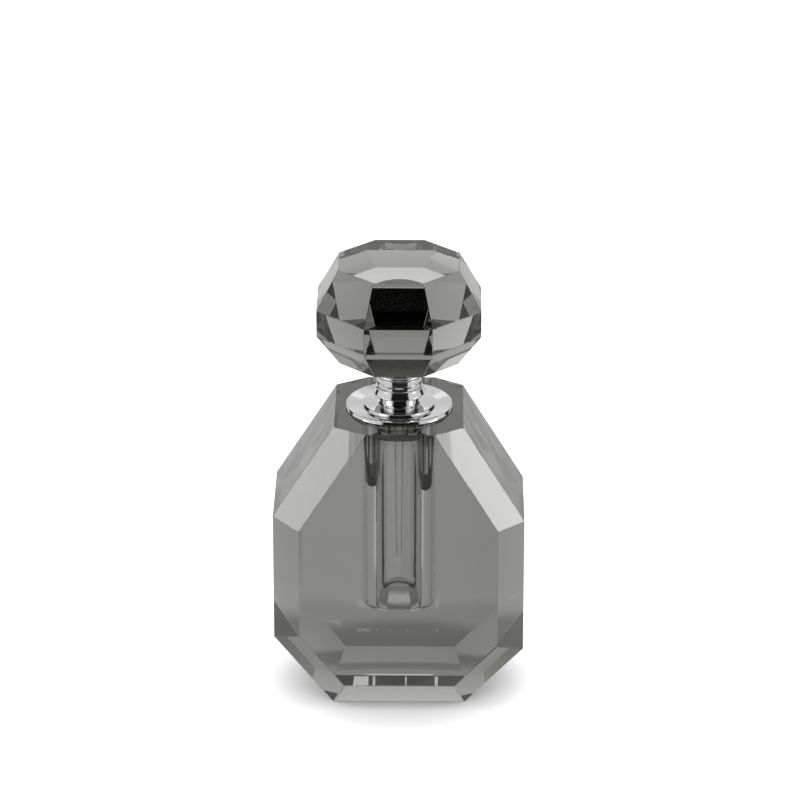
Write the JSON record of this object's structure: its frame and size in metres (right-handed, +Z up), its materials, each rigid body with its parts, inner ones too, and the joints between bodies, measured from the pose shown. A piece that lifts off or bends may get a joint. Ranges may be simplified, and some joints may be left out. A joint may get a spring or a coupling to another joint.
{
  "type": "perfume bottle with dabber stopper",
  "caption": "Faceted smoke-grey crystal perfume bottle with a drilled bore, a chrome collar and a push-in faceted ball stopper that carries a glass dabber rod.",
  "frame": {"origin": "centre of the flat bottom face, on the axis of the bore, collar and stopper", "axes": "+Z up along the bore's axis, +X to the right and -Y towards the viewer of the wide front face"},
  "size_m": [0.066, 0.0428, 0.1203],
  "materials": {
    "smoke_crystal": "cut and polished smoke-grey crystal",
    "clear_glass": "fire-polished clear glass",
    "clear_cement": "clear cured adhesive",
    "chrome_plate": "mirror-polished chrome plate on brass",
    "soft_plastic": "translucent white soft plastic"
  },
  "bodies": {
    "bottle": {"crystal_body": "smoke_crystal", "collar_cement": "clear_cement", "collar_flange": "chrome_plate", "neck_insert": "chrome_plate", "step_ring": "chrome_plate"},
    "washer": {"neck_washer": "soft_plastic"},
    "stopper": {"cap_shell": "chrome_plate", "cap_ring": "chrome_plate", "ball_seat": "chrome_plate", "ball_glue": "clear_cement", "crystal_ball": "smoke_crystal", "dabber_plug": "soft_plastic", "dabber_rod": "clear_glass"}
  },
  "joints": [
    {"name": "stopper_turn", "type": "hinge", "parent": "bottle", "child": "washer", "pos_m": [0, 0, 0.0865], "axis": [0, 0, 1], "continuous": true},
    {"name": "stopper_lift", "type": "slide", "parent": "washer", "child": "stopper", "axis": [0, 0, 1], "range_m": [0, 0.055]}
  ]
}
